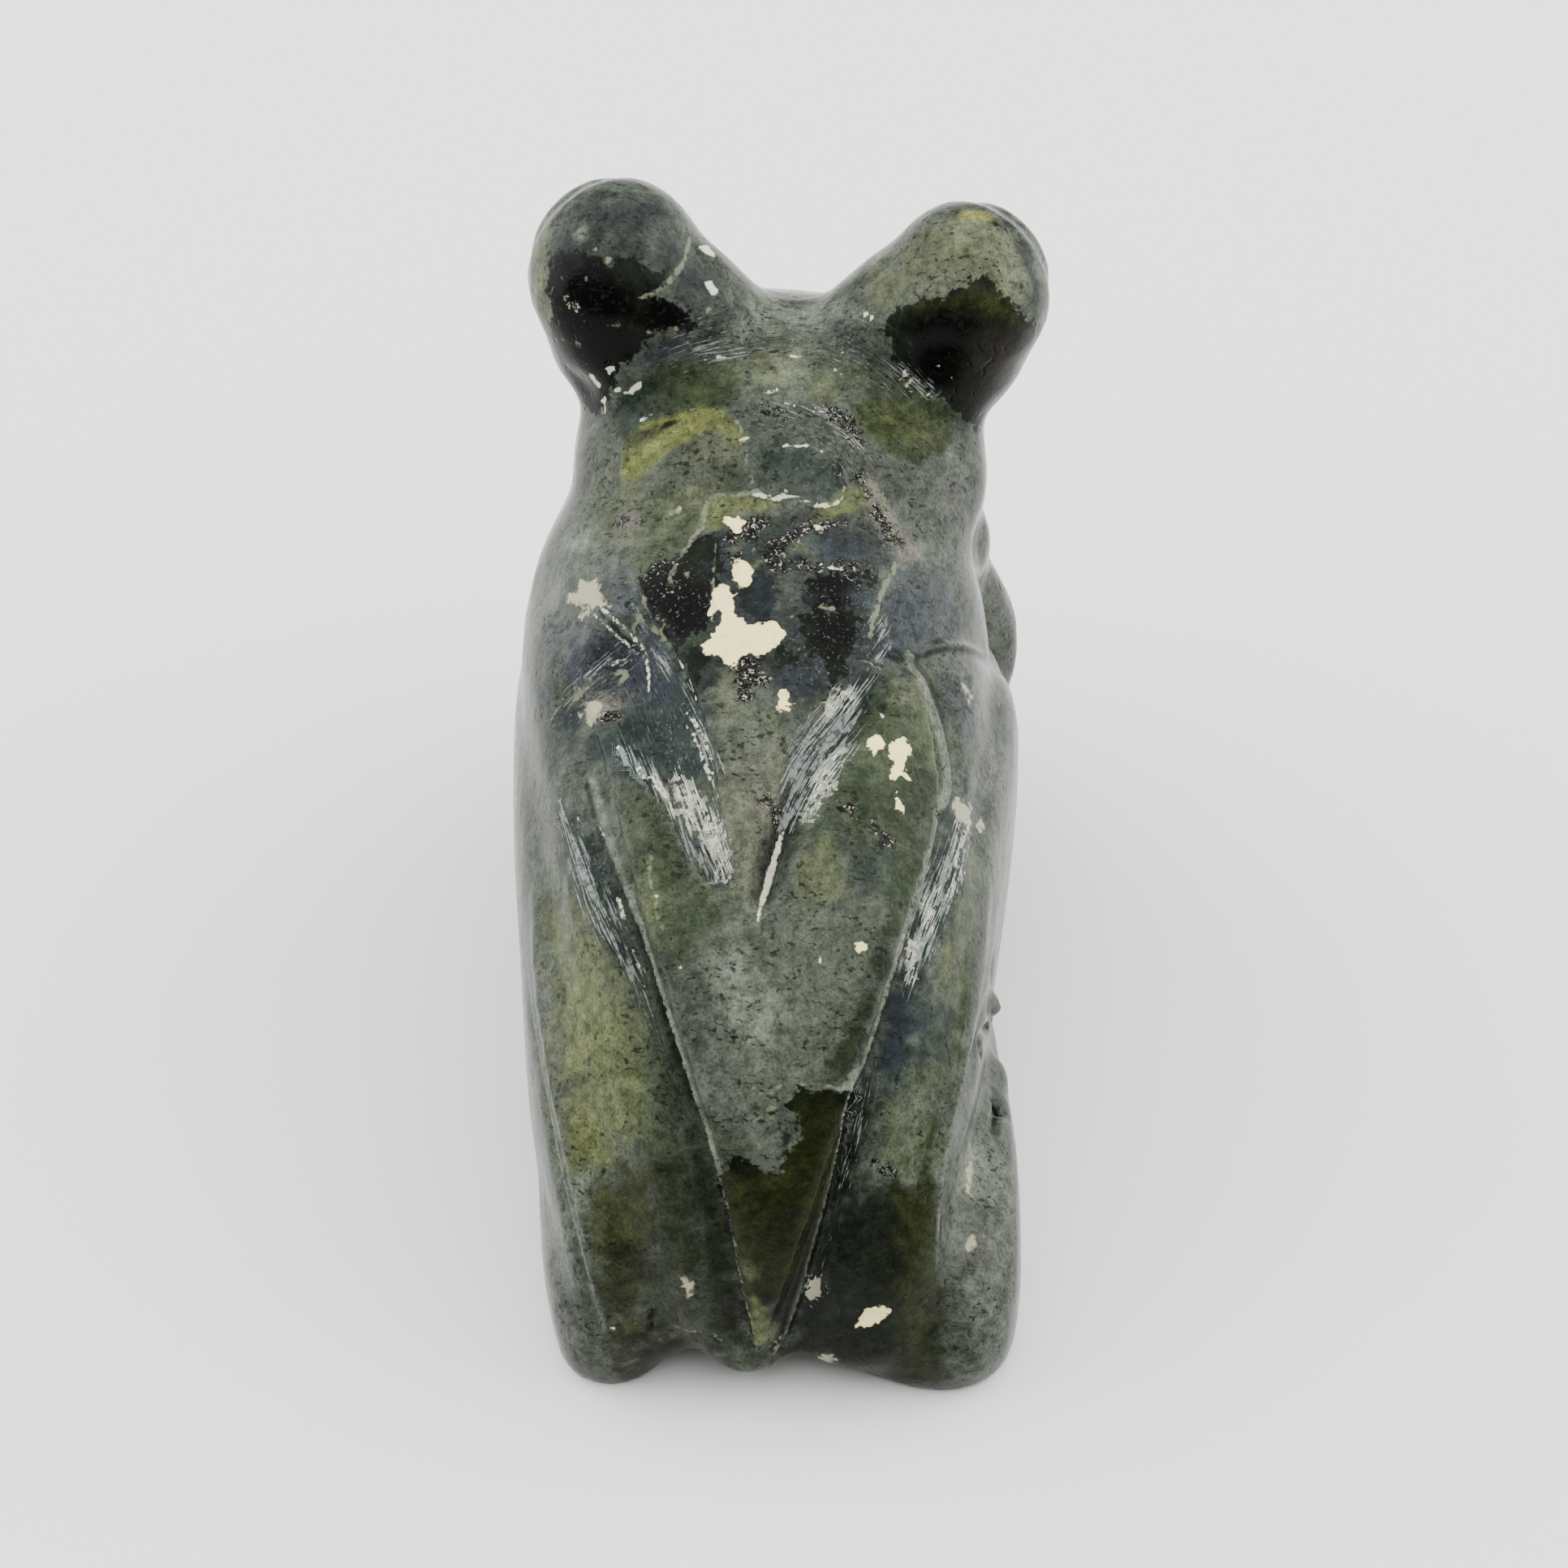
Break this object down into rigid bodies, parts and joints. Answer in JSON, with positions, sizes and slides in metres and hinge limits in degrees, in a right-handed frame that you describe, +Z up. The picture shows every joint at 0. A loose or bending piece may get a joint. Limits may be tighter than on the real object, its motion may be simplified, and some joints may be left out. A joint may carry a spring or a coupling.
{
  "type": "serpentine frog carving",
  "caption": "Hand-size stone figurine of a sitting frog with folded legs and raised ball eyes; stands on its sawn-flat underside as an ornament or paperweight.",
  "frame": {"origin": "on the ground, under the middle of the carving's bounding box", "axes": "+Z up; the frog faces -Y, so +Y runs from its snout to its tail along its length; +X is its own left"},
  "size_m": [0.0434, 0.086, 0.0643],
  "materials": {
    "stone": "waxed grey-green serpentine, half gloss"
  },
  "bodies": {
    "root": {"frog_carving": "stone"}
  },
  "joints": []
}
